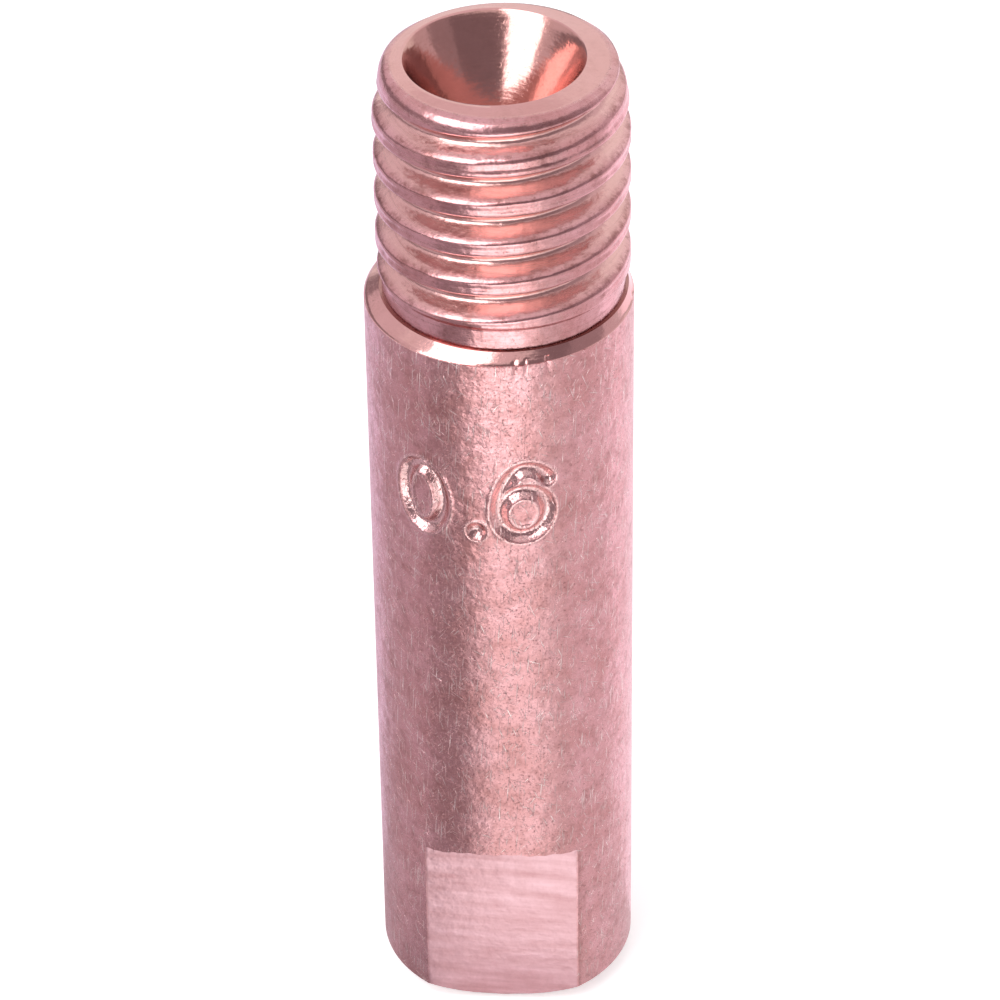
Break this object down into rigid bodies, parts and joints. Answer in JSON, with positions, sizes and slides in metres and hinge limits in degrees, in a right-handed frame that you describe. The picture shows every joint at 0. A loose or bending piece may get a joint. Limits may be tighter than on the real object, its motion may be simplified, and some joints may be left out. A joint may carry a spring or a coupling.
{
  "type": "welding contact tip",
  "caption": "Turned copper contact tip for a MIG/MAG torch: round body with spanner flats, bevelled shoulder, M6 threaded stud, wire-entry cone and a fine wire bore right through.",
  "frame": {"origin": "centre of the front end face, where the wire comes out and on which the tip stands", "axes": "+Z along the wire bore to the threaded end; the spanner flats face -Y and +Y; +X is square to both"},
  "size_m": [0.006, 0.006, 0.025],
  "materials": {
    "copper": null
  },
  "bodies": {
    "root": {"contact_tip": "copper"}
  },
  "joints": []
}
